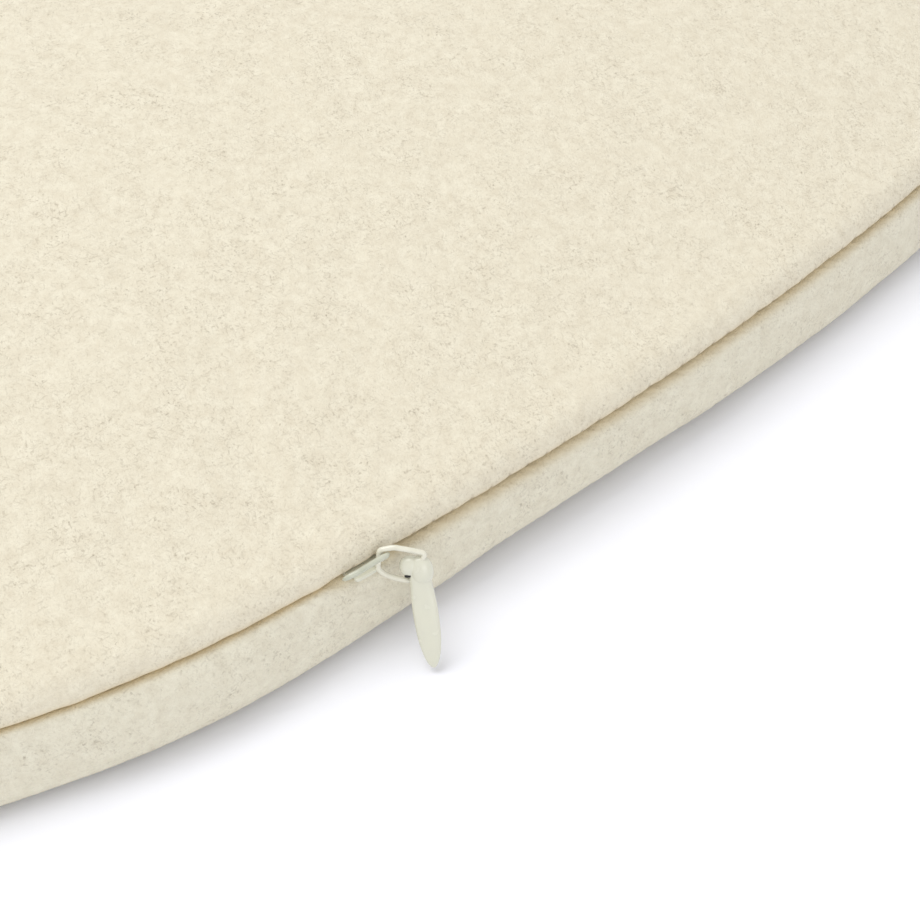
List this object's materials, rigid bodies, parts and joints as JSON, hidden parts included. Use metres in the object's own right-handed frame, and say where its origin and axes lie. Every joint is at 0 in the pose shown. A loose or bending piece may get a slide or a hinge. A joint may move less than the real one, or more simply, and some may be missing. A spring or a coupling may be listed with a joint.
{
  "type": "lumbar support cushion",
  "caption": "Domed lumbar support cushion with a foam core, an inner liner and a zipped wool felt cover whose slider carries a ring and a drop-shaped pull.",
  "frame": {"origin": "middle of the flat back face, on which the cushion lies", "axes": "+X along the length, +Z out of the domed front, and -Y towards the long side with the zip"},
  "size_m": [0.4532, 0.3305, 0.055],
  "materials": {
    "wool_felt": "thick milled wool felt, cream heather",
    "wool_felt_band": "thick milled wool felt, cream heather",
    "liner_cotton": "plain woven cotton",
    "foam": "moulded open-cell foam",
    "sewing_thread": "spun polyester thread",
    "zip_tape": "woven polyester tape",
    "zip_coil": "satin nylon monofilament",
    "enamel": "glossy cream enamel on zinc",
    "steel_wire": "pale grey-green enamelled wire"
  },
  "bodies": {
    "cushion": {"front_panel": "wool_felt", "border_band": "wool_felt_band", "back_panel": "wool_felt", "liner_front": "liner_cotton", "liner_back": "liner_cotton", "foam_core": "foam", "front_seam_thread": "sewing_thread", "back_seam_thread": "sewing_thread", "liner_seam_thread": "sewing_thread", "zip_tape_front": "zip_tape", "zip_tape_band": "zip_tape", "zip_coil_front": "zip_coil", "zip_coil_band": "zip_coil", "zip_top_stop_front": "zip_coil", "zip_top_stop_band": "zip_coil", "zip_bottom_stop": "zip_coil"},
    "slider": {"slider_body": "enamel", "slider_bridge": "steel_wire"},
    "ring": {"pull_ring": "steel_wire"},
    "drop": {"pull_drop": "enamel"}
  },
  "joints": [
    {"name": "slider_travel", "type": "hinge", "parent": "cushion", "child": "slider", "pos_m": [0, 0.66, 0.019], "axis": [0, 0, 1], "range_deg": [0, 12.9]},
    {"name": "ring_swing", "type": "hinge", "parent": "slider", "child": "ring", "pos_m": [-0.09177, -0.15631, 0.0201], "axis": [-0.1754, -0.0592, -0.9827], "range_deg": [-20, 70]},
    {"name": "drop_swing", "type": "hinge", "parent": "ring", "child": "drop", "pos_m": [-0.0874, -0.16168, 0.01873], "axis": [0.6701, -0.7267, 0.1514], "range_deg": [-60, 25]}
  ]
}
